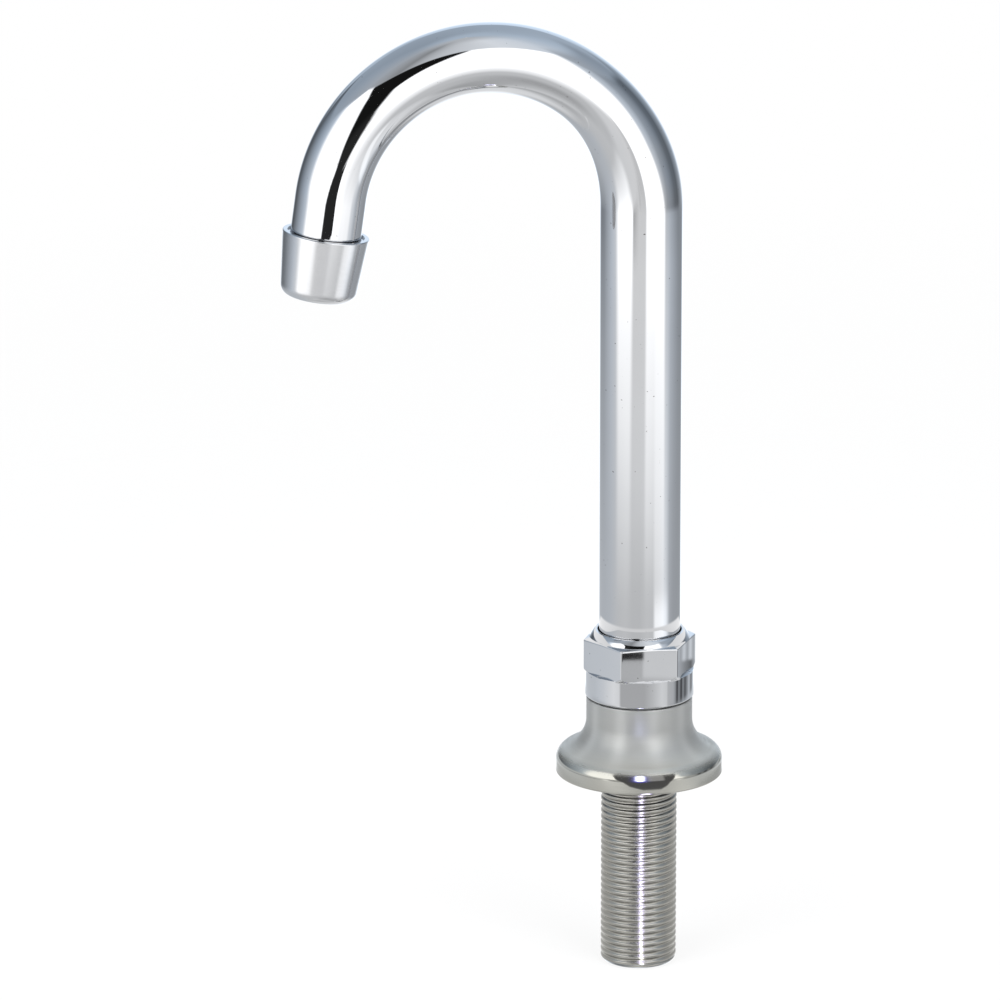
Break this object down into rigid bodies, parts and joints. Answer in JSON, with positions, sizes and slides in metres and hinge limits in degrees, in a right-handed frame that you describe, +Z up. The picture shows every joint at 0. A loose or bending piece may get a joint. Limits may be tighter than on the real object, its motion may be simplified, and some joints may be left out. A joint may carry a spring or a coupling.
{
  "type": "deck mount gooseneck faucet",
  "caption": "Deck-mounted swivel gooseneck spout with a tapered screw-on aerator collar, hexagon spout nut, bell-shaped flanged base and threaded inlet shank.",
  "frame": {"origin": "middle of the flange's underside, in the deck plane, on the riser's axis", "axes": "+Z up along the riser, the spout reaches towards -Y, +X to the spout's side"},
  "size_m": [0.0454, 0.1205, 0.2644],
  "materials": {
    "polished_chrome": "polished chrome plate",
    "brushed_chrome": "fine brushed chrome plate",
    "satin_chrome": "satin chrome plate",
    "nickel_thread": "plain nickel plate, threaded",
    "bare_brass": "machined",
    "seal_rubber": "moulded",
    "fibre_seal": "pressed fibre",
    "slide_plastic": "smooth",
    "insert_plastic": "moulded",
    "screen_steel": "pierced sheet"
  },
  "bodies": {
    "base": {"base_body": "satin_chrome", "shank_nipple": "nickel_thread", "shank_seal": "fibre_seal", "deck_gasket": "seal_rubber", "spout_nut": "polished_chrome", "upper_thrust_washer": "slide_plastic", "lower_thrust_washer": "slide_plastic"},
    "spout": {"swivel_stem": "bare_brass", "upper_o_ring": "seal_rubber", "lower_o_ring": "seal_rubber", "spout_tube": "polished_chrome", "outlet_adapter": "polished_chrome"},
    "aerator_insert": {"aerator_gasket": "seal_rubber", "aerator_strainer": "screen_steel", "aerator_cartridge": "insert_plastic", "aerator_flow_disc": "insert_plastic", "aerator_mixing_ring": "insert_plastic", "aerator_screen_upper": "screen_steel", "aerator_spacer": "insert_plastic", "aerator_screen_lower": "screen_steel"},
    "aerator_collar": {"aerator_shell": "brushed_chrome"}
  },
  "joints": [
    {"name": "spout_swivel", "type": "hinge", "parent": "base", "child": "spout", "pos_m": [0, 0, 0.04045], "axis": [0, 0, 1], "continuous": true},
    {"name": "aerator_travel", "type": "slide", "parent": "spout", "child": "aerator_insert", "axis": [0, -0.1392, -0.9903], "range_m": [0, 0.00471]},
    {"name": "aerator_turn", "type": "hinge", "parent": "aerator_insert", "child": "aerator_collar", "pos_m": [0, -0.08551, 0.15493], "axis": [0, -0.1392, -0.9903], "range_deg": [0, 1800]}
  ],
  "couplings": [
    {"joint": "aerator_travel", "follows": "aerator_turn", "m_per_rad": 0.00014972}
  ]
}
